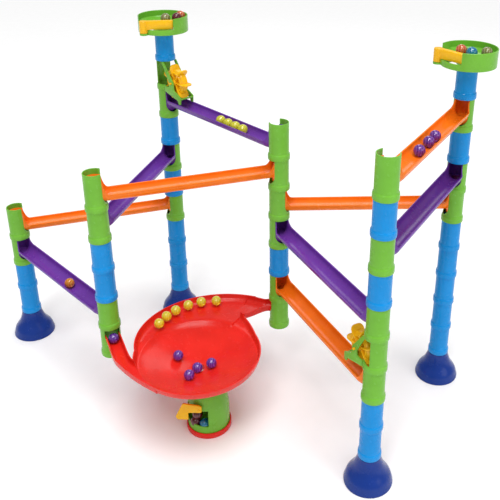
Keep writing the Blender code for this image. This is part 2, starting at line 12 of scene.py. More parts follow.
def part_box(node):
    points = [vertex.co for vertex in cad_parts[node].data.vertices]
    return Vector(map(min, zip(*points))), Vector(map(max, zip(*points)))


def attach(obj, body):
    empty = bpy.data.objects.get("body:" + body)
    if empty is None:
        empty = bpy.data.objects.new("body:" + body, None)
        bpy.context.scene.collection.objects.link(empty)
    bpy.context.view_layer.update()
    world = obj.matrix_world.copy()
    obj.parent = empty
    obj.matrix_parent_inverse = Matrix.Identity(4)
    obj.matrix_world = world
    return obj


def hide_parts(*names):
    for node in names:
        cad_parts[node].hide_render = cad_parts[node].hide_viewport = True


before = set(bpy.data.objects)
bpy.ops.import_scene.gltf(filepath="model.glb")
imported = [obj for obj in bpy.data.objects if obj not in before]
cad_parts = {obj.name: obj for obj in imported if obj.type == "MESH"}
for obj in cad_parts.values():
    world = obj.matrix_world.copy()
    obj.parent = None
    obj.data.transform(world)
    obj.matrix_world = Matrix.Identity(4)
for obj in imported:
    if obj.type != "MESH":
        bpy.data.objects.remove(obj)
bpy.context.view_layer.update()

MM = 0.001
MARBLE_R = 8 * MM
GAP = 0.3 * MM              # play between pieces that fit together
SIDES = 64                  # facets round a turned piece
ROUND_STEPS = 16            # facets across a trough's round bottom
QUARTER = math.pi / 2

# The stacking system. Heights are above the foot of each piece.
PITCH = 50 * MM             # height that one tube adds
TUBE_R = 15.2 * MM
BORE_R = 13.6 * MM
COLLAR_R = 16.8 * MM
COLLAR_H = 10 * MM
SOCKET_R = 15.5 * MM        # takes the spigot of the tube below
SOCKET_DEEP = 9 * MM
SPIGOT_H = 8.5 * MM
FOOT_H = 47 * MM
FOOT_R = 35 * MM
SILL = 10.5 * MM            # bottom of a tube's window

# Chutes
CHUTE_HALF = 15 * MM
CHUTE_NECK = 11.2 * MM      # half-width inside a window
CHUTE_DEEP = 14 * MM
CHUTE_BELLY = 12.5 * MM     # depth of the round bottom
CHUTE_WALL = 1.6 * MM
HIGH_RAIL = 35 * MM         # the rails' height at the upper tower
LOW_RAIL = 27 * MM          # and at the lower one
SLEEVE_R = 13 * MM          # the ring that holds each end inside its tube
SLEEVE_WALL = 1.3 * MM
SLEEVE_TOP = 50 * MM
FLARE_IN = 9.5 * MM         # where an end starts to open out, from the tower's axis
FLARE_OUT = 20 * MM
HOLE_R = 8.6 * MM

# Funnel
BOWL_R = 95.5 * MM
BOWL_WALL = 1.8 * MM
BOWL_RIM = 130 * MM
BOWL_FLOOR = 99 * MM
BOWL_HOLE_R = 9.5 * MM
BOWL_SIDES = 160
LEDGE = 121 * MM            # height of the ledge round the bowl
DISH_NEAR = 2 * BOWL_HOLE_R / BOWL_R
DISH_FAR = 0.9              # the dish runs between these shares of the radius
DISH_EDGE = LEDGE - 2.4 * MM
DISH_CURVE = 1.12
SWELL = 66 * MM             # how far the rim stands out where channel C comes in
SWELL_START = math.radians(60)
SWELL_END = math.radians(180)
SWELL_RISE = 5 * MM
CUSP = 18 * MM              # and on the near side of channel C
CUSP_SWEEP = math.radians(35)
ARM_TOP = 38 * MM           # a channel's rail in the window
ARM_HALF = 12 * MM
ARM_DEEP = 12.5 * MM
ARM_SWING = 28 * MM         # how far channel B starts outside the rim
ARM_DROP = 4 * MM
ARM_B_SPOKES = (190, 200, 210, 220, 230, 240)   # directions from the bowl's centre, in degrees
ARM_C_SPOKES = (-0.09, 0.03, 0.1)               # the same past SWELL_START, in radians

# Catch cup
CUP_R = 32 * MM
CUP_TOP = 90 * MM
CUP_WALL = 2 * MM
CUP_SEAT = 3 * MM           # thickness of the base ring's floor
CUP_BASE_R = 34.5 * MM
CUP_BASE_H = 9 * MM
POCKET_FLOOR = 12 * MM
POCKET_LIP = 21 * MM
POCKET_HIGH = 50 * MM
POCKET_LEFT = 29 * MM
POCKET_RIGHT = 8 * MM
CUP_FACES = math.radians(-98)
FLAP_T = 3 * MM
FLAP_UP = 54 * MM           # the flap's pin: height, side and standing out from the cup
FLAP_SIDE = -5 * MM
FLAP_OUT = 2 * MM
FLAP_PIN_R = 2 * MM

# Starting trays
TRAY_R = 40.5 * MM
TRAY_WALL = 1.8 * MM
TRAY_LOW = -1 * MM          # underside of the skirt
TRAY_RIM = 25 * MM
TRAY_FLOOR = 14 * MM
TRAY_PLATE = 3.5 * MM
TRAY_HOLE_R = 9 * MM
TRAY_SOCKET_R = 16.6 * MM   # outside of the socket under the floor
GATE_REACH = 25 * MM        # the gate's pin, forward and to the left of the tower's axis
GATE_LEFT = 32 * MM
GATE_LONG = 47 * MM
GATE_DEEP = 8 * MM
GATE_TALL = 14 * MM
GATE_LOW = 8 * MM
KNOB_R = 6.5 * MM
KNOB_SEAT = 2 * MM          # top of the lug that the knob turns on

# Paddle wheels
WHEEL_R = 30 * MM
WHEEL_OUT = 29.5 * MM       # the axle, out from the tower's axis and up
WHEEL_UP = 16.5 * MM
WHEEL_SLOT = 10.8 * MM      # half-width of the slot that the paddles pass through
PADDLES = 7
PADDLE_HALF = 9.8 * MM
PADDLE_T = 2.4 * MM
HUB_R = 5 * MM
AXLE_R = 1.8 * MM
AXLE_HALF = 16 * MM
CHEEK_IN = 11.8 * MM
CHEEK_T = 2 * MM
CHEEK_TIP = WHEEL_OUT + 24 * MM
BRIDGE_R = 1.5 * MM

# Camera, at the angle of a person who looks down at the toy
CAMERA_PLACE = (0.12651, -0.98850, 0.82670)
CAMERA_TURN = [math.radians(angle) for angle in (66.534, -0.827, 0.031)]
CAMERA_LENS = 52.448
CAMERA_SHIFT = (-0.11358, -0.17192)

# upper tower, lower tower, level, colour, whether the upper end has a drop hole
CHUTES = (
    ("D", "A", 4, "orange", False),
    ("C", "B", 7, "orange", False),
    ("F", "C", 6, "orange", False),
    ("A", "B", 3, "purple", False),
    ("D", "B", 6, "purple", True),
    ("D", "C", 8, "purple", False),
    ("C", "E", 5, "purple", False),
    ("F", "E", 7, "purple", True),
    ("C", "E", 3, "orange", True),
    ("F", "E", 9, "orange", False),
)

# tower, lowest level, number of tubes: the plain blue runs
BLUE_RUNS = (
    ("A", 1, 2), ("B", 4, 2), ("C", 4, 1), ("D", 1, 3), ("D", 5, 1), ("D", 7, 1), ("D", 10, 1),
    ("E", 1, 2), ("E", 6, 1), ("E", 8, 1), ("F", 1, 5), ("F", 8, 1), ("F", 10, 1),
)
FUNNEL_WINDOWS = (("B", 2, math.radians(-60)), ("C", 2, math.radians(165)))
TRAYS = (("D", math.radians(282)), ("F", math.radians(222)))
WHEELS = (("D", "C", 9), ("E", "C", 4))

COLOURS = {
    "blue": (0.001, 0.27, 0.70),
    "green": (0.17, 0.48, 0.04),
    "orange": (0.96, 0.20, 0.008),
    "purple": (0.15, 0.038, 0.34),
    "red": (0.76, 0.018, 0.010),
    "yellow": (0.97, 0.52, 0.008),
    "navy": (0.006, 0.035, 0.24),
}


def middle(node):
    """Where a CAD node stands, in plan."""
    low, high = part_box(node)
    return ((low + high) / 2).xy


TOWERS = {
    "A": middle("foot_A"),
    "B": middle("blue_tube_B4_to_B5"),
    "C": middle("blue_tube_C4"),
    "D": middle("foot_D"),
    "E": middle("foot_E"),
    "F": middle("foot_F"),
}
SPAN = (TOWERS["F"] - TOWERS["C"]).length
BOWL_CENTRE = TOWERS["C"] + Vector((-118.5 * MM, -118 * MM))
CUP_CENTRE = middle("catch_cup_base")


def along(angle, distance=1.0):
    """A step in plan, in one direction."""
    return Vector((math.cos(angle), math.sin(angle))) * distance


def level_z(level):
    """Height of the foot of a tower's tube, counted from 1 above the foot."""
    return FOOT_H + (level - 1) * PITCH


def bearing(start, end):
    """Direction from one tower to another."""
    run = TOWERS[end] - TOWERS[start]
    return math.atan2(run.y, run.x)


def at(xy, z, angle=0.0):
    """A place in plan and height, turned about the vertical."""
    return Matrix.Translation((xy[0], xy[1], z)) @ Matrix.Rotation(angle, 4, "Z")


# ---- materials ----

PIGMENT_SCALE = 38
MARKS_SCALE = 120
GRAIN_SCALE = 420
GLOSS_RANGE = (0.18, 0.3)
PLASTIC_SHADER = {
    "Metallic": 0,
    "IOR": 1.5,
    "Specular IOR Level": 0.22,
    "Coat Weight": 0.08,
    "Coat Roughness": 0.1,
}
GLASS_SHADER = {
    "Roughness": 0.04,
    "IOR": 1.49,
    "Transmission Weight": 0.45,
    "Coat Weight": 0.6,
    "Coat Roughness": 0.03,
}


def new_material(name, settings):
    """A material with its shader's constants set. Gives back the material, node tree and shader."""
    material = bpy.data.materials.new(name)
    material.use_nodes = True
    shader = material.node_tree.nodes["Principled BSDF"]
    for socket, value in settings.items():
        shader.inputs[socket].default_value = value
    return material, material.node_tree, shader


def noise(tree, coords, scale, detail=3.0):
    """A cloudy value over an object's own coordinates."""
    texture = tree.nodes.new("ShaderNodeTexNoise")
    texture.inputs["Scale"].default_value = scale
    texture.inputs["Detail"].default_value = detail
    tree.links.new(coords.outputs["Object"], texture.inputs["Vector"])
    return texture.outputs["Fac"]


def spread(tree, value, low, high):
    """Maps a noise's middle range to a range of values."""
    ramp = tree.nodes.new("ShaderNodeMapRange")
    ramp.inputs["From Min"].default_value = 0.3
    ramp.inputs["From Max"].default_value = 0.7
    ramp.inputs["To Min"].default_value = low
    ramp.inputs["To Max"].default_value = high
    tree.links.new(value, ramp.inputs["Value"])
    return ramp.outputs["Result"]


def blend(tree, factor, first, second):
    """A colour between two, as a value says."""
    mix = tree.nodes.new("ShaderNodeMix")
    mix.data_type = "RGBA"
    tree.links.new(factor, mix.inputs["Factor"])
    mix.inputs["A"].default_value = (*first, 1)
    mix.inputs["B"].default_value = (*second, 1)
    return mix.outputs["Result"]


def plastic(name, colour):
    """Glossy moulded plastic: cloudy pigment, a fine grain, and handling marks in the gloss."""
    material = bpy.data.materials.get(name)
    if material:
        return material
    material, tree, shader = new_material(name, PLASTIC_SHADER)
    coords = tree.nodes.new("ShaderNodeTexCoord")
    cloud = spread(tree, noise(tree, coords, PIGMENT_SCALE, 4), 0, 1)
    deep = tuple(0.93 * c for c in colour)
    light = tuple(min(1.0, 1.05 * c + 0.002) for c in colour)
    tree.links.new(blend(tree, cloud, deep, light), shader.inputs["Base Color"])
    marks = noise(tree, coords, MARKS_SCALE, 6)
    tree.links.new(spread(tree, marks, *GLOSS_RANGE), shader.inputs["Roughness"])
    bump = tree.nodes.new("ShaderNodeBump")
    bump.inputs["Strength"].default_value = 0.05
    bump.inputs["Distance"].default_value = 0.4 * MM
    tree.links.new(noise(tree, coords, GRAIN_SCALE, 2), bump.inputs["Height"])
    tree.links.new(bump.outputs["Normal"], shader.inputs["Normal"])
    return material


def glass(name, core, swirl):
    """A translucent marble with a swirl of a second colour in it."""
    material, tree, shader = new_material(name, GLASS_SHADER)
    coords = tree.nodes.new("ShaderNodeTexCoord")
    bands = tree.nodes.new("ShaderNodeTexWave")
    bands.inputs["Scale"].default_value = 90
    bands.inputs["Distortion"].default_value = 6
    tree.links.new(coords.outputs["Object"], bands.inputs["Vector"])
    tree.links.new(blend(tree, bands.outputs["Fac"], core, swirl), shader.inputs["Base Color"])
    return material


# ---- shapes ----

def rounded(points, radius, steps=3):
    """A closed outline with every corner turned into a small curve."""
    smooth = []
    count = len(points)
    for i, point in enumerate(points):
        corner = Vector(point)
        back = Vector(points[i - 1]) - corner
        ahead = Vector(points[(i + 1) % count]) - corner
        start = corner + back.normalized() * min(radius, 0.45 * back.length)
        end = corner + ahead.normalized() * min(radius, 0.45 * ahead.length)
        for k in range(steps + 1):
            t = k / steps
            smooth.append(start * (1 - t) ** 2 + corner * 2 * t * (1 - t) + end * t ** 2)
    return smooth


def spun(profile, closed=True, sides=SIDES):
    """A turned solid. A profile that starts and ends on the axis isn't closed."""
    bm = bmesh.new()
    verts = [bm.verts.new((r, 0, z)) for r, z in profile]
    edges = [bm.edges.new(pair) for pair in zip(verts, verts[1:])]
    if closed:
        edges.append(bm.edges.new((verts[-1], verts[0])))
    bmesh.ops.spin(bm, geom=verts + edges, cent=(0, 0, 0), axis=(0, 0, 1), angle=math.tau,
                   steps=sides, use_merge=True)
    return bm


def prism(outline, low, high, soft=0.0):
    """An outline in plan drawn up from one height to another, its edges softened."""
    bm = bmesh.new()
    face = bm.faces.new([bm.verts.new((x, y, low)) for x, y in outline])
    top = bmesh.ops.extrude_face_region(bm, geom=[face])["geom"]
    verts = [v for v in top if isinstance(v, bmesh.types.BMVert)]
    bmesh.ops.translate(bm, vec=(0, 0, high - low), verts=verts)
    if soft:
        edges = [e for e in bm.edges if e.calc_face_angle(0) > math.radians(40)]
        bmesh.ops.bevel(bm, geom=edges, offset=soft, segments=2, profile=0.5, affect="EDGES",
                        clamp_overlap=True)
    return bm


def skinned(stations):
    """A solid through a row of sections with the same number of points."""
    bm = bmesh.new()
    rings = [[bm.verts.new(point) for point in station] for station in stations]
    for first, second in zip(rings, rings[1:]):
        for i in range(len(first)):
            j = (i + 1) % len(first)
            bm.faces.new((first[i], first[j], second[j], second[i]))
    bm.faces.new(rings[0])
    bm.faces.new(list(reversed(rings[-1])))
    return bm


def slot_outline(half, reach):
    """A rectangle in plan that runs out from the axis."""
    return [(0, -half), (reach, -half), (reach, half), (0, half)]


def solid(name, bm, place=Matrix.Identity(4)):
    """An object made from a mesh in progress."""
    bmesh.ops.remove_doubles(bm, verts=bm.verts, dist=1e-7)
    bmesh.ops.recalc_face_normals(bm, faces=bm.faces)
    mesh = bpy.data.meshes.new(name)
    bm.to_mesh(mesh)
    bm.free()
    obj = bpy.data.objects.new(name, mesh)
    obj.matrix_world = place
    bpy.context.scene.collection.objects.link(obj)
    return obj


def combine(obj, steps):
    """Joins or cuts helpers one after another, then removes them."""
    for operation, other in steps:
        modifier = obj.modifiers.new(operation.lower(), "BOOLEAN")
        modifier.operation = operation
        modifier.object = other
        modifier.solver = "EXACT"
    settle(obj)
    for _, other in steps:
        bpy.data.objects.remove(other)


def settle(obj):
    """Makes the mesh what its modifiers show."""
    bpy.context.view_layer.update()
    seen = obj.evaluated_get(bpy.context.evaluated_depsgraph_get())
    mesh = bpy.data.meshes.new_from_object(seen)
    obj.modifiers.clear()
    obj.data = mesh


def finish(obj, colour, nodes, body="root", edge=0.0):
    """Softens the cut edges, then gives the piece its material and body, and hides the CAD nodes that it
    replaces.
    """
    if edge:
        bevel = obj.modifiers.new("edge", "BEVEL")
        bevel.width = edge
        bevel.segments = 2
        bevel.limit_method = "ANGLE"
        bevel.angle_limit = math.radians(50)
        settle(obj)
    obj.data.shade_smooth()
    obj.data.set_sharp_from_angle(angle=math.radians(38))
    obj.data.materials.clear()
    obj.data.materials.append(plastic(colour + "_plastic", COLOURS[colour]))
    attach(obj, body)
    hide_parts(*nodes)


# ---- towers ----

def tube_profile(count):
    """Bore and outside of a run of tubes, each with a round-edged collar and a fine bead above it."""
    points = [(SOCKET_R, 0.5 * MM), (SOCKET_R + 0.5 * MM, 0)]
    for k in range(count):
        base = k * PITCH
        if k:
            points += [(TUBE_R, base)]
        lip = COLLAR_R - 0.7 * MM
        points += [(lip, base), (COLLAR_R - 0.2 * MM, base + 0.3 * MM), (COLLAR_R, base + 1 * MM)]
        points += [(COLLAR_R, base + 6.6 * MM), (COLLAR_R - 0.3 * MM, base + 7.6 * MM)]
        points += [(COLLAR_R - 0.3 * MM, base + 8.4 * MM), (COLLAR_R - 0.7 * MM, base + 9.1 * MM)]
        points += [(TUBE_R + 0.2 * MM, base + COLLAR_H - 0.2 * MM), (TUBE_R, base + COLLAR_H + 0.5 * MM)]
    top = count * PITCH + SPIGOT_H
    points += [(TUBE_R, top - 0.5 * MM), (TUBE_R - 0.4 * MM, top), (BORE_R + 0.4 * MM, top)]
    points += [(BORE_R, top - 0.5 * MM), (BORE_R, SOCKET_DEEP), (SOCKET_R, SOCKET_DEEP)]
    return points


def half_round(half, low, rise):
    """A round-bottomed outline, from one side down and up to the other."""
    turns = [math.pi * k / ROUND_STEPS for k in range(ROUND_STEPS + 1)]
    return [(half * math.cos(turn), low + rise * (1 - math.sin(turn))) for turn in turns]


def window_cutter(name, place, top, sill=SILL):
    """A cutter with the round bottom of the chute that plugs in."""
    half = CHUTE_NECK + GAP
    outline = [(half, top)] + half_round(half, sill, CHUTE_BELLY + GAP) + [(-half, top)]
    return solid(name, skinned([[(x, y, z) for y, z in outline] for x in (0, 2 * TUBE_R)]), place)


def make_blue_runs():
    """The plain tubes."""
    for tower, level, count in BLUE_RUNS:
        last = level + count - 1
        node = f"blue_tube_{tower}{level}" + (f"_to_{tower}{last}" if count > 1 else "")
        place = at(TOWERS[tower], level_z(level))
        finish(solid("fine_" + node, spun(tube_profile(count)), place), "blue", [node])


def windows():
    """Which way the window of each green tube faces."""
    found = {}
    for upper, lower, level, _, _ in CHUTES:
        found[upper, level] = bearing(upper, lower)
        found[lower, level] = bearing(lower, upper)
    for tower, level, angle in FUNNEL_WINDOWS:
        found[tower, level] = angle
    return found


def make_window_tubes():
    """The green tubes, each with a window where a chute or channel plugs in. F6 and F7 are one piece."""
    faced = windows()
    for (tower, level), angle in sorted(faced.items()):
        if (tower, level) == ("F", 7):
            continue
        pair = (tower, level) == ("F", 6)
        place = at(TOWERS[tower], level_z(level))
        node = "green_tube_F6_F7" if pair else f"green_tube_{tower}{level}"
        tube = solid("fine_" + node, spun(tube_profile(2 if pair else 1)), place)
        cuts = []
        if pair:
            cuts.append(("DIFFERENCE", window_cutter("cut_low", place @ at((0, 0), 0, angle), PITCH)))
            place = at(TOWERS[tower], level_z(level + 1))
            angle = faced[tower, level + 1]
        funnel_side = (tower, level, angle) in FUNNEL_WINDOWS
        sill = ARM_TOP - ARM_DEEP - GAP if funnel_side else SILL
        turned = place @ at((0, 0), 0, angle)
        cuts.append(("DIFFERENCE", window_cutter("cut_high", turned, PITCH + 2 * SPIGOT_H, sill)))
        combine(tube, cuts)
        finish(tube, "green", [node], edge=0.25 * MM)


def make_feet():
    """The flared feet under towers A, D, E and F."""
    outer = [(FOOT_R - 0.5 * MM, 0), (FOOT_R, 0.6 * MM), (FOOT_R, 3.6 * MM), (FOOT_R - 0.6 * MM, 4.6 * MM),
             (FOOT_R - 1.6 * MM, 9 * MM), (32 * MM, 13.2 * MM), (30 * MM, 16.8 * MM),
             (27 * MM, 20.6 * MM), (23.6 * MM, 25.6 * MM), (21 * MM, 30.8 * MM), (19 * MM, 36.4 * MM),
             (17.4 * MM, 41.4 * MM), (COLLAR_R, 44 * MM), (COLLAR_R, FOOT_H - 0.8 * MM),
             (COLLAR_R - 0.5 * MM, FOOT_H - GAP), (TUBE_R, FOOT_H - GAP)]
    top = FOOT_H + SPIGOT_H
    inner = [(TUBE_R, top), (BORE_R, top), (BORE_R, 42 * MM), (FOOT_R - 9 * MM, 16 * MM),
             (FOOT_R - 2.5 * MM, 0)]
    for tower in "ADEF":
        place = at(TOWERS[tower], 0)
        finish(solid(f"fine_foot_{tower}", spun(outer + inner), place), "navy", [f"foot_{tower}"])


# ---- chutes ----

def trough_section(x, half, rail, base, floor, lip):
    """Cross-section of a trough: a half-round bottom and a thin rolled lip along each rail."""
    top, side = rail - 0.5 * MM, half + lip
    right = [(half - 0.5 * MM, rail), (side - 0.3 * MM, rail - 0.1 * MM), (side, top)]
    right += [(side, rail - 1.1 * MM), (half, rail - 1.5 * MM)]
    outside = right + half_round(half, base, CHUTE_BELLY) + [(-y, z) for y, z in reversed(right)]
    inner = half - CHUTE_WALL
    inside = [(inner, top)] + half_round(inner, floor, CHUTE_BELLY - CHUTE_WALL) + [(-inner, top)]
    return [(x, y, z) for y, z in outside + inside[::-1]]


def rail_height(x):
    """Height of a chute's rails at a distance from the upper tower's axis."""
    return HIGH_RAIL + (LOW_RAIL - HIGH_RAIL) * x / SPAN


def ease(t):
    """Goes from 0 to 1 with a smooth start and end."""
    return t * t * (3 - 2 * t)


def chute_stations():
    """Sections from the upper tube's bore to the lower one's, with the ends drawn in and turned up."""
    crown = PITCH - GAP
    reaches = [6 * MM] + [FLARE_IN + (FLARE_OUT - FLARE_IN) * k / 8 for k in range(9)]
    for reach, x in [(r, r) for r in reaches] + [(r, SPAN - r) for r in reversed(reaches)]:
        open_out = min(1.0, max(0.0, (reach - FLARE_IN) / (FLARE_OUT - FLARE_IN)))
        rail = rail_height(x) + (crown - rail_height(x)) * (1 - open_out) ** 2.4
        half = CHUTE_NECK + (CHUTE_HALF - CHUTE_NECK) * ease(open_out) ** 0.8
        base = rail_height(x) - CHUTE_DEEP
        floor = base + CHUTE_WALL
        if open_out == 0:
            base = SILL + GAP               # inside a window the trough rests on the sill
        yield trough_section(x, half, rail, base, floor, 0.6 * MM * ease(open_out))


def chute_sleeve(place):
    """The ring that stands in a tube's bore, open towards the trough."""
    foot = SILL + GAP
    ring = [(SLEEVE_R - SLEEVE_WALL, foot), (SLEEVE_R, foot), (SLEEVE_R, SLEEVE_TOP),
            (SLEEVE_R - SLEEVE_WALL, SLEEVE_TOP)]
    mouth = slot_outline(CHUTE_NECK - CHUTE_WALL, 2 * SLEEVE_R)
    sleeve = solid("sleeve", spun(ring), place)
    combine(sleeve, [("DIFFERENCE", solid("mouth", prism(mouth, 0, PITCH + COLLAR_H), place))])
    return sleeve


def make_chute(upper, lower, level, colour, has_hole):
    """A trough with a sleeve at each end, and a floor at the upper end that may have a drop hole."""
    node = f"chute_{colour}_{upper}_to_{lower}_{level}"
    place = at(TOWERS[upper], level_z(level), bearing(upper, lower))
    chute = solid("fine_" + node, skinned(list(chute_stations())), place)
    steps = []
    for x, turn in ((0, 0), (SPAN, math.pi)):
        steps.append(("UNION", chute_sleeve(place @ at((x, 0), 0, turn))))
    floor_z = rail_height(0) - CHUTE_DEEP
    reach = SLEEVE_R - 0.4 * MM
    disc = [(0, floor_z), (reach, floor_z), (reach, floor_z + CHUTE_WALL), (0, floor_z + CHUTE_WALL)]
    steps.append(("UNION", solid("floor", spun(disc, closed=False), place)))
    if has_hole:
        drill = [(0, 0), (HOLE_R, 0), (HOLE_R, rail_height(0)), (0, rail_height(0))]
        steps.append(("DIFFERENCE", solid("drill", spun(drill, closed=False), place)))
    combine(chute, steps)
    finish(chute, colour, [node], edge=0.2 * MM)


# ---- funnel ----

def swell(angle):
    """How far the bowl's rim stands out past its round."""
    turn = (angle - SWELL_START) % math.tau
    back = SWELL * max(0.0, 1 - turn / (SWELL_END - SWELL_START))
    cusp = CUSP * max(0.0, 1 - (math.tau - turn) / CUSP_SWEEP) ** 1.5
    return back + cusp


def bowl_solid(profile, trim=0.0):
    """A solid bowl from the axis out, its rim swollen at the back. Each profile point is a share of the
    radius, a height, how much it follows the swelling, and how far it rises with it."""
    bm = bmesh.new()
    rings = []
    for k in range(BOWL_SIDES):
        angle = SWELL_START + 0.01 + (math.tau - 0.02) * k / (BOWL_SIDES - 1)
        out = swell(angle)
        swollen = min(1.0, out / SWELL)
        ring = []
        for share, z, follow, rise in profile:
            r = share * BOWL_R + out * follow - trim
            ring.append(bm.verts.new((r * math.cos(angle), r * math.sin(angle), z + rise * swollen)))
        rings.append(ring)
    low = bm.verts.new((0, 0, profile[0][1]))
    high = bm.verts.new((0, 0, profile[-1][1]))
    for k in range(BOWL_SIDES):
        first, second = rings[k], rings[(k + 1) % BOWL_SIDES]
        bm.faces.new((low, second[0], first[0]))
        bm.faces.new((high, first[-1], second[-1]))
        for i in range(len(profile) - 1):
            bm.faces.new((first[i], second[i], second[i + 1], first[i + 1]))
    return bm


def channel(stations, trim, low, high):
    """A trough-shaped solid between two walls: trimmed in from them, from low to high about its rails."""
    rings = []
    for outer, inner, top in stations:
        side = (outer - inner).normalized()
        a, b = outer - side * trim, inner + side * trim
        across = a - b
        corner = top + low
        points = [(a, top + high), (a, corner + 5 * MM), (a - across * 0.04, corner + 2.4 * MM),
                  (a - across * 0.13, corner + 0.8 * MM), (a - across * 0.27, corner)]
        points += [(b + across * 0.27, corner), (b + across * 0.13, corner + 0.8 * MM),
                   (b + across * 0.04, corner + 2.4 * MM), (b, corner + 5 * MM), (b, top + high)]
        rings.append([(point.x, point.y, z) for point, z in points])
    return skinned(rings)


def spline(stations, steps=6):
    """Stations with smooth ones put between them."""
    points = [[*outer, *inner, top] for outer, inner, top in stations]
    points = [points[0]] + points + [points[-1]]
    smooth = []
    for i in range(1, len(points) - 2):
        for k in range(steps):
            t = k / steps
            row = []
            for p0, p1, p2, p3 in zip(*points[i - 1:i + 3]):
                bend = (2 * p0 - 5 * p1 + 4 * p2 - p3) * t * t + (3 * p1 - p0 - 3 * p2 + p3) * t ** 3
                row.append(0.5 * (2 * p1 + (p2 - p0) * t + bend))
            smooth.append(row)
    smooth.append(points[-1])
    return [(Vector(row[0:2]), Vector(row[2:4]), row[4]) for row in smooth]


def arm_stations(tower, angle, start):
    """Where a channel's two walls run: out of the tower's window, then along the bowl's rim."""
    axis = TOWERS[tower] - BOWL_CENTRE
    top = level_z(2) + ARM_TOP
    stations = []
    side = along(angle + math.pi / 2, CHUTE_NECK)
    for reach in (start, FLARE_OUT):
        point = axis + along(angle, reach)
        stations.append((point - side, point + side, top))
    if tower == "C":
        rim = BOWL_RIM + SWELL_RISE - 0.5 * MM
        for past in ARM_C_SPOKES:
            spoke = along(SWELL_START + past)
            wall = BOWL_R + SWELL * (1 - past / (SWELL_END - SWELL_START)) - 0.5 * MM
            stations.append((spoke * wall, spoke * (BOWL_R + CUSP - 2 * MM), rim))
        return stations
    for k, degrees in enumerate(ARM_B_SPOKES):
        spoke = along(math.radians(degrees))
        centre_line = BOWL_R - ARM_HALF - 0.5 * MM + ARM_SWING * (1 - k / 5) ** 2
        height = BOWL_RIM - 0.5 * MM + ARM_DROP * (1 - k / 5)
        stations.append((spoke * (centre_line + ARM_HALF), spoke * (centre_line - ARM_HALF), height))
    return stations


def dish(start, end):
    """Profile points of the bowl's floor, a little hollow between its hole and its edge."""
    points = []
    for k in range(9):
        share = k / 8
        height = start[1] + (end[1] - start[1]) * share ** DISH_CURVE
        points.append((start[0] + (end[0] - start[0]) * share, height, 0, 0))
    return points


def bowl_outside():
    """Profile of the bowl's outside, in the terms of bowl_solid."""
    up = SWELL_RISE
    points = dish((DISH_NEAR, BOWL_FLOOR - BOWL_WALL), (0.93, LEDGE - 3.5 * MM))
    points += [(0.955, LEDGE - 2.6 * MM, 0.6, 0.6 * up), (0.972, LEDGE - 1 * MM, 0.96, 0.8 * up)]
    points += [(0.985, LEDGE + 2 * MM, 1, up), (1.0, BOWL_RIM, 1, up)]
    return points


def bowl_inside():
    """Profile of the bowl's hollow: dish, low ridge, ledge and rim, then up past the rim."""
    up = SWELL_RISE
    points = dish((DISH_NEAR, BOWL_FLOOR), (DISH_FAR, DISH_EDGE))
    points += [(0.925, LEDGE - 0.9 * MM, 0, 0.4 * up), (0.94, LEDGE - 0.3 * MM, 0.02, 0.7 * up)]
    points += [(0.95, LEDGE - 0.1 * MM, 0.08, 0.7 * up), (0.955, LEDGE, 0.3, 0.6 * up)]
    points += [(0.96, LEDGE, 0.85, 0.6 * up), (0.972, LEDGE + 1.6 * MM, 0.97, 0.85 * up)]
    points += [(0.985, LEDGE + 4.5 * MM, 1, up), (1.0, BOWL_RIM, 1, up), (1.0, BOWL_RIM + 30 * MM, 1, up)]
    return points


def make_funnel():
    """The bowl with the ledge that runs in from tower C round its back, two channels and a spout."""
    place = at(BOWL_CENTRE, 0)
    funnel = solid("fine_swirl_funnel", bowl_solid(bowl_outside()), place)
    joined = []
    cut = [("DIFFERENCE", solid("hollow", bowl_solid(bowl_inside(), BOWL_WALL), place))]
    for tower, _, angle in FUNNEL_WINDOWS:
        arm = channel(spline(arm_stations(tower, angle, 4 * MM)), 0, -ARM_DEEP, 0)
        joined.append(("UNION", solid("arm_" + tower, arm, place)))
        track = spline(arm_stations(tower, angle, -4 * MM))
        room = channel(track, BOWL_WALL, BOWL_WALL - ARM_DEEP, 30 * MM)
        cut.append(("DIFFERENCE", solid("arm_hollow_" + tower, room, place)))
    wide, low, high = BOWL_HOLE_R + 1.5 * MM, BOWL_FLOOR - 9 * MM, BOWL_FLOOR - 1 * MM
    spout = [(0, low), (wide, low), (wide, high), (0, high)]
    joined.append(("UNION", solid("spout", spun(spout, closed=False), place)))
    drill = [(0, 0), (BOWL_HOLE_R, 0), (BOWL_HOLE_R, BOWL_RIM), (0, BOWL_RIM)]
    cut.append(("DIFFERENCE", solid("drill", spun(drill, closed=False), place)))
    combine(funnel, joined + cut)
    finish(funnel, "red", ["swirl_funnel"], edge=0.35 * MM)


# ---- catch cup ----

def upright():
    """Turns a plan drawing up, so that its second axis is height."""
    return Matrix.Rotation(QUARTER, 4, "X")


def flap_place():
    """The flap's pin, on the cup's front."""
    front = at(CUP_CENTRE, FLAP_UP, CUP_FACES)
    turned = Matrix.Rotation(QUARTER, 4, "Z") @ upright()
    return front @ Matrix.Translation((CUP_R + FLAP_OUT, FLAP_SIDE, 0)) @ turned


def make_cup_base():
    """The red ring that the cup stands in."""
    soft, seat = 0.6 * MM, CUP_BASE_R - 2 * MM
    ring = [(0, 0), (CUP_BASE_R - soft, 0), (CUP_BASE_R, 0.8 * MM), (CUP_BASE_R, CUP_BASE_H - 0.8 * MM),
            (CUP_BASE_R - soft, CUP_BASE_H), (seat, CUP_BASE_H), (seat, CUP_SEAT), (0, CUP_SEAT)]
    base = solid("fine_catch_cup_base", spun(ring, closed=False), at(CUP_CENTRE, 0, CUP_FACES))
    finish(base, "red", ["catch_cup_base"])


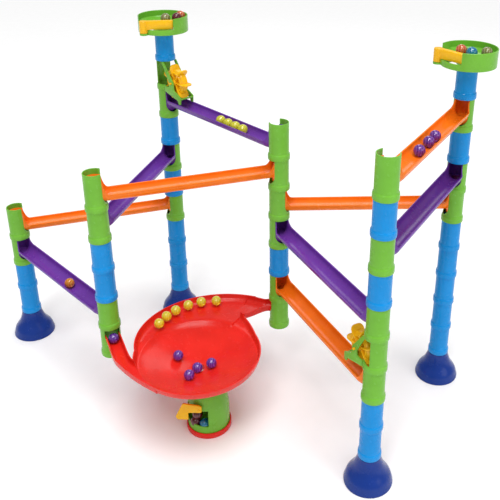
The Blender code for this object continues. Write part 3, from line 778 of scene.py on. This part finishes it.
def make_catch_cup():
    """The domed green cup, with its pocket's opening, its inlet under the spout and the flap's pin hole."""
    place = at(CUP_CENTRE, 0, CUP_FACES)
    shape = [(0, 0), (CUP_R, 0), (CUP_R, 34 * MM), (CUP_R - 0.5 * MM, 42 * MM), (CUP_R - 2 * MM, 50 * MM),
             (CUP_R - 3.7 * MM, 57 * MM), (CUP_R - 6 * MM, 64 * MM), (CUP_R - 9.4 * MM, 71 * MM),
             (CUP_R - 14 * MM, 78 * MM), (CUP_R - 20 * MM, 83 * MM), (CUP_R - 26 * MM, 86 * MM),
             (0, CUP_TOP - CUP_SEAT)]
    shell = [(r, z + CUP_SEAT + GAP) for r, z in shape]
    hollow = [(max(r - CUP_WALL, 0), max(z + CUP_SEAT - CUP_WALL, POCKET_FLOOR)) for r, z in shape]
    opening = [(0, -POCKET_LEFT), (2 * CUP_R, -POCKET_LEFT), (2 * CUP_R, POCKET_RIGHT), (0, POCKET_RIGHT)]
    inlet = [(0, 0), (BOWL_HOLE_R, 0), (BOWL_HOLE_R, 40 * MM), (0, 40 * MM)]
    bore, deep = FLAP_PIN_R + GAP, -18 * MM
    pin = [(0, deep), (bore, deep), (bore, 1 * MM), (0, 1 * MM)]
    cup = solid("fine_catch_cup", spun(shell, closed=False), place)
    combine(cup, [("DIFFERENCE", cut) for cut in (
        solid("hollow", spun(hollow, closed=False), place),
        solid("opening", prism(rounded(opening, 5 * MM), POCKET_LIP, POCKET_HIGH), place),
        solid("inlet", spun(inlet, closed=False), at(BOWL_CENTRE, POCKET_HIGH + 10 * MM)),
        solid("pin_hole", spun(pin, closed=False, sides=24), flap_place()),
    )])
    finish(cup, "green", ["catch_cup"], edge=0.4 * MM)


def make_flap():
    """The yellow flap with its pin. The outline is in millimetres from the pin."""
    shape = ((4, 6), (-1, 8), (-25, 9), (-37, -17), (-34, -22), (-17, -20), (-17, -7), (-2, -5), (4, -4))
    outline = rounded([(x * MM, y * MM) for x, y in shape], 1.6 * MM)
    flap = solid("fine_catch_cup_flap", prism(outline, -FLAP_T, 0, 0.5 * MM), flap_place())
    long = FLAP_T * 3
    pin = [(0, -long), (FLAP_PIN_R, -long), (FLAP_PIN_R, 0.6 * MM), (FLAP_PIN_R - 0.4 * MM, 1 * MM)]
    pin.append((0, 1 * MM))
    combine(flap, [("UNION", solid("pin", spun(pin, closed=False, sides=32), flap_place()))])
    finish(flap, "yellow", ["catch_cup_flap"], "flap")


# ---- starting trays ----

def tray_profile():
    """Section of a tray, from its socket out to the skirt, over the rim and in to the drop hole."""
    under, inside, soft = TRAY_FLOOR - TRAY_PLATE, TRAY_R - TRAY_WALL, 0.5 * MM
    return [(SOCKET_R, 0), (TRAY_SOCKET_R, 0), (TRAY_SOCKET_R, under), (inside, under), (inside, TRAY_LOW),
            (TRAY_R - soft, TRAY_LOW), (TRAY_R, TRAY_LOW + soft), (TRAY_R, TRAY_RIM - soft),
            (TRAY_R - soft, TRAY_RIM), (inside + soft, TRAY_RIM), (inside, TRAY_RIM - soft),
            (inside, TRAY_FLOOR + 2 * MM), (inside - 2 * MM, TRAY_FLOOR),
            (TRAY_HOLE_R + 2 * MM, TRAY_FLOOR - 1 * MM), (TRAY_HOLE_R, TRAY_FLOOR - 2 * MM),
            (TRAY_HOLE_R, SOCKET_DEEP), (SOCKET_R, SOCKET_DEEP)]


def make_tray(tower, faces):
    """A tray with an ear at its front left for the gate's knob, a notch for the gate, and the gate."""
    place = at(TOWERS[tower], level_z(11), faces)
    tray = solid(f"fine_tray_{tower}", spun(tray_profile()), place)
    back, front, corner = -6 * MM, 2 * GATE_REACH, -GATE_LEFT - KNOB_R
    edge = 0.985 * TRAY_R
    ear = [(back, -edge), (GATE_REACH, corner), (GATE_REACH, -24 * MM), (back, -24 * MM)]
    room = [(back, TRAY_WALL - edge), (front, 1.12 * corner + TRAY_WALL), (front, 0), (back, 0)]
    high = TRAY_RIM + 5 * MM
    side, end = 2 * TRAY_R, GATE_LONG - GATE_LEFT + GAP
    notch = [(GATE_REACH, -side), (side, -side), (side, end), (GATE_REACH, end)]
    pivot = place @ Matrix.Translation((GATE_REACH + GATE_DEEP / 2 + GAP, -GATE_LEFT, 0))
    swing = [(0, KNOB_SEAT), (KNOB_R + GAP, KNOB_SEAT), (KNOB_R + GAP, high), (0, high)]
    lug = [(0, TRAY_LOW), (KNOB_R, TRAY_LOW), (KNOB_R, KNOB_SEAT), (0, KNOB_SEAT)]
    combine(tray, [
        ("UNION", solid("ear", prism(ear, TRAY_LOW, TRAY_RIM), place)),
        ("DIFFERENCE", solid("ear_room", prism(room, TRAY_FLOOR, high), place)),
        ("DIFFERENCE", solid("notch", prism(notch, GATE_LOW - GAP, high), place)),
        ("DIFFERENCE", solid("knob_room", spun(swing, closed=False), pivot)),
        ("UNION", solid("lug", spun(lug, closed=False), pivot)),
    ])
    finish(tray, "green", [f"tray_{tower}"], edge=0.3 * MM)
    make_gate(tower, pivot)


def make_gate(tower, pivot):
    """A yellow bar that turns on the round knob at its end."""
    half, top, low = GATE_DEEP / 2, GATE_LOW + GATE_TALL, KNOB_SEAT + GAP
    soft = 0.6 * MM
    outline = rounded([(-half, 0), (half, 0), (half, GATE_LONG), (-half, GATE_LONG)], 1.5 * MM)
    gate = solid(f"fine_gate_{tower}", prism(outline, GATE_LOW, top, soft), pivot)
    knob = [(0, low), (KNOB_R - soft, low), (KNOB_R, low + soft), (KNOB_R, top - soft), (KNOB_R - soft, top),
            (0, top)]
    combine(gate, [("UNION", solid("knob", spun(knob, closed=False), pivot))])
    finish(gate, "yellow", [f"gate_{tower}"], f"gate_arm_{tower}")


# ---- paddle wheels ----

def cheek_outline():
    """Side view of a cheek: a sloping strut over the wheel's axle and an arm out to the bridge."""
    foot, crown = -16 * MM, PITCH - GAP
    return [(11 * MM, 0), (CHEEK_TIP - 8 * MM, -10 * MM), (CHEEK_TIP - 6 * MM, foot),
            (CHEEK_TIP - 1 * MM, foot), (CHEEK_TIP, -4 * MM), (WHEEL_OUT + 7 * MM, 5 * MM),
            (WHEEL_OUT + 5 * MM, WHEEL_UP + 2 * MM), (11.5 * MM, crown), (6 * MM, crown),
            (WHEEL_OUT - 5 * MM, WHEEL_UP), (WHEEL_OUT - 6 * MM, 9 * MM), (11 * MM, 9 * MM)]


def axle_place(place):
    """The wheel's axle, across the chute that it stands over."""
    return place @ Matrix.Translation((WHEEL_OUT, 0, WHEEL_UP)) @ upright()


def make_wheel_tube(tower, toward, level):
    """A tube open on the side of the wheel, with two cheeks and the bridge between their ends."""
    place = at(TOWERS[tower], level_z(level), bearing(tower, toward))
    node = f"wheel_tube_{tower}{level}"
    tube = solid("fine_" + node, spun(tube_profile(1)), at(TOWERS[tower], level_z(level)))
    wide = 2 * COLLAR_R
    gap = [(-6 * MM, -wide), (wide, -wide), (wide, wide), (-6 * MM, wide)]
    slot = slot_outline(WHEEL_SLOT, wide)
    steps = [
        ("DIFFERENCE", solid("open_side", prism(gap, COLLAR_H, PITCH), place)),
        ("DIFFERENCE", solid("wheel_slot", prism(slot, -COLLAR_H, COLLAR_H + GAP), place)),
    ]
    for low in (-CHEEK_IN - CHEEK_T, CHEEK_IN):
        cheek = prism(rounded(cheek_outline(), 1.2 * MM), low, low + CHEEK_T, 0.4 * MM)
        steps.append(("UNION", solid("cheek", cheek, place @ upright())))
    reach = CHEEK_IN + CHEEK_T / 2
    rod = [(0, -reach), (BRIDGE_R, -reach), (BRIDGE_R, reach), (0, reach)]
    bar = place @ Matrix.Translation((CHEEK_TIP - BRIDGE_R, 0, -6.6 * MM)) @ upright()
    steps.append(("UNION", solid("bridge", spun(rod, closed=False, sides=24), bar)))
    hole, deep = AXLE_R + GAP, 30 * MM
    bore = [(0, -deep), (hole, -deep), (hole, deep), (0, deep)]
    drill = spun(bore, closed=False, sides=32)
    steps.append(("DIFFERENCE", solid("axle_hole", drill, axle_place(place))))
    combine(tube, steps)
    finish(tube, "green", [node], edge=0.2 * MM)


def wheel_profile():
    """Section of a wheel: axle, hub, web, raised ring and outer band, the same on both faces."""
    half = PADDLE_HALF
    face = [(0, -AXLE_HALF), (AXLE_R - 0.4 * MM, -AXLE_HALF), (AXLE_R, 0.4 * MM - AXLE_HALF)]
    face += [(AXLE_R, -half), (HUB_R - 0.6 * MM, -half), (HUB_R, 0.6 * MM - half)]
    face += [(HUB_R + 0.5 * MM, -3 * MM)]
    face += [(14 * MM, -3.6 * MM), (14.8 * MM, -7 * MM), (17.2 * MM, -7.4 * MM), (18.2 * MM, -5.6 * MM)]
    face += [(21.4 * MM, -5 * MM), (22.2 * MM, -4 * MM)]
    return face + [(r, -z) for r, z in reversed(face)]


def make_wheel(tower, toward, level):
    """A wheel with seven broad round-ended paddles."""
    place = axle_place(at(TOWERS[tower], level_z(level), bearing(tower, toward)))
    wheel = solid(f"fine_paddle_wheel_{tower}", spun(wheel_profile(), closed=False), place)
    tip, half = WHEEL_R, PADDLE_HALF
    outline = [(3 * MM, -0.7 * half), (0.62 * tip, -half), (0.84 * tip, -half), (tip, -0.6 * half),
               (tip, 0.6 * half), (0.84 * tip, half), (0.62 * tip, half), (3 * MM, 0.7 * half)]
    steps = []
    for k in range(PADDLES):
        turn = Matrix.Rotation(math.tau * k / PADDLES, 4, "Z") @ upright()
        blade = prism(rounded(outline, 4 * MM, 5), -PADDLE_T / 2, PADDLE_T / 2, 0.5 * MM)
        steps.append(("UNION", solid("paddle", blade, place @ turn)))
    combine(wheel, steps)
    finish(wheel, "yellow", [f"paddle_wheel_{tower}"], f"wheel_{tower}", edge=0.25 * MM)


# ---- marbles ----

GLASS = {
    "plum": ((0.10, 0.02, 0.35), (0.30, 0.10, 0.62)),
    "lemon": ((0.92, 0.88, 0.01), (1.0, 0.98, 0.10)),
    "maroon": ((0.10, 0.004, 0.012), (0.25, 0.01, 0.03)),
    "coral": ((0.85, 0.08, 0.02), (0.95, 0.35, 0.15)),
    "olive": ((0.25, 0.22, 0.05), (0.50, 0.46, 0.22)),
    "teal": ((0.01, 0.20, 0.45), (0.03, 0.40, 0.65)),
    "amber": ((0.90, 0.22, 0.01), (1.0, 0.50, 0.05)),
}
marble_numbers = itertools.count(1)


def marble(colour, x, y, z):
    """A marble with its middle at a point."""
    bm = bmesh.new()
    bmesh.ops.create_icosphere(bm, subdivisions=4, radius=MARBLE_R)
    obj = solid(f"marble_{next(marble_numbers)}_{colour}", bm, Matrix.Translation((x, y, z)))
    obj.data.shade_smooth()
    obj.data.materials.append(bpy.data.materials.get(colour) or glass(colour, *GLASS[colour]))
    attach(obj, "root")


def on_chute(colour, upper, lower, level, x):
    """A marble in a trough, at a distance from the upper tower's axis."""
    spot = TOWERS[upper] + along(bearing(upper, lower), x)
    marble(colour, *spot, level_z(level) + rail_height(x) - CHUTE_DEEP + CHUTE_WALL + MARBLE_R)


def in_bowl(colour, degrees, radius, lift=0.0):
    """A marble on the bowl's dish, or lifted up to the ledge round it."""
    spot = BOWL_CENTRE + along(math.radians(degrees), radius)
    share = (radius / BOWL_R - DISH_NEAR) / (DISH_FAR - DISH_NEAR)
    floor = BOWL_FLOOR + (DISH_EDGE - BOWL_FLOOR) * min(1.0, max(0.0, share)) ** DISH_CURVE
    marble(colour, *spot, floor + 1.03 * MARBLE_R + lift)


def in_tray(colour, tower, faces, forward, left):
    """A marble on a tray's floor."""
    spot = at(TOWERS[tower], level_z(11), faces) @ Vector((forward, -left, TRAY_FLOOR + MARBLE_R))
    marble(colour, *spot)


def in_cup(colour, forward, left, lift):
    """A marble in the catch cup, on its floor or on another marble."""
    spot = at(CUP_CENTRE, 0, CUP_FACES) @ Vector((forward, -left, POCKET_FLOOR + MARBLE_R + lift))
    marble(colour, *spot)


def make_marbles():
    """Marbles on the run: distances in millimetres, and directions in the bowl in degrees."""
    for x in (138, 156, 173, 190):
        on_chute("lemon", "D", "C", 8, x * MM)
    for x in (169, 136, 113):
        on_chute("plum", "F", "E", 9, x * MM)
    on_chute("amber", "A", "B", 3, 158 * MM)
    for degrees, radius in ((137, 95), (126, 104), (116, 112), (105, 120), (95, 126), (84, 130)):
        in_bowl("lemon", degrees, radius * MM, 6 * MM)
    for degrees, radius, lift in ((157, 35, 0), (267, 7, -2), (4, 20, 0), (253, 31, 0)):
        in_bowl("plum", degrees, radius * MM, lift * MM)
    mouth = TOWERS["B"] + along(FUNNEL_WINDOWS[0][2], 15 * MM)
    marble("plum", *mouth, level_z(2) + ARM_TOP - ARM_DEEP + BOWL_WALL + MARBLE_R)
    for colour, forward, left in (("olive", 14, -4), ("maroon", 12, -22), ("coral", -4, -29)):
        in_tray(colour, *TRAYS[0], forward * MM, left * MM)
    for colour, forward, left in (("coral", 14, 4), ("teal", 14, -14), ("olive", -2, -28)):
        in_tray(colour, *TRAYS[1], forward * MM, left * MM)
    caught = (("maroon", 20, 15, 0), ("teal", 23, 0, 0), ("maroon", 19, 12, 14))
    for colour, forward, left, lift in caught:
        in_cup(colour, forward * MM, left * MM, lift * MM)


# ---- studio ----

def make_floor():
    """A wide pale floor with a barely visible grain."""
    bm = bmesh.new()
    bmesh.ops.create_grid(bm, x_segments=1, y_segments=1, size=40)
    floor = solid("floor", bm)
    material, tree, shader = new_material("floor", {"Roughness": 0.9})
    grain = spread(tree, noise(tree, tree.nodes.new("ShaderNodeTexCoord"), 30), 0, 1)
    tree.links.new(blend(tree, grain, [0.95] * 3, [0.97] * 3), shader.inputs["Base Color"])
    floor.data.materials.append(material)


def lamp(name, kind, spot, energy, size):
    """A soft lamp that shines at the middle of the object. Its size is an angle for a sun."""
    light = bpy.data.lights.new(name, kind)
    light.energy = energy
    if kind == "SUN":
        light.angle = size
    else:
        light.shape = "DISK"
        light.size = size
    obj = bpy.data.objects.new(name, light)
    bpy.context.scene.collection.objects.link(obj)
    way = Vector((0, 0, 0.25)) - Vector(spot)
    obj.matrix_world = Matrix.Translation(spot) @ way.to_track_quat("-Z", "Y").to_matrix().to_4x4()


def make_lights():
    """Soft even light from above and from all sides, with plain colours."""
    lamp("ceiling", "SUN", (0.2, -0.5, 3.0), 1.9, math.radians(35))
    lamp("key", "AREA", (-0.4, -1.5, 2.3), 14, 0.7)
    lamp("fill", "AREA", (1.8, -1.3, 1.2), 7, 1.4)
    lamp("back", "AREA", (0.3, 1.8, 1.7), 5, 1.0)
    bpy.context.scene.view_settings.view_transform = "Standard"
    world = bpy.data.worlds.new("studio")
    bpy.context.scene.world = world
    world.use_nodes = True
    sky = world.node_tree.nodes["Background"]
    sky.inputs["Color"].default_value = (1, 1, 1, 1)
    sky.inputs["Strength"].default_value = 0.4


def make_camera():
    """A camera above the front of the toy."""
    data = bpy.data.cameras.new("camera")
    data.lens = CAMERA_LENS
    data.sensor_width = 36
    data.shift_x, data.shift_y = CAMERA_SHIFT
    camera = bpy.data.objects.new("camera", data)
    camera.location = CAMERA_PLACE
    camera.rotation_euler = CAMERA_TURN
    bpy.context.scene.collection.objects.link(camera)
    bpy.context.scene.camera = camera


make_camera()
make_lights()
make_floor()
make_feet()
make_blue_runs()
make_window_tubes()
for chute in CHUTES:
    make_chute(*chute)
make_funnel()
make_cup_base()
make_catch_cup()
make_flap()
for tray in TRAYS:
    make_tray(*tray)
for wheel in WHEELS:
    make_wheel_tube(*wheel)
    make_wheel(*wheel)
make_marbles()
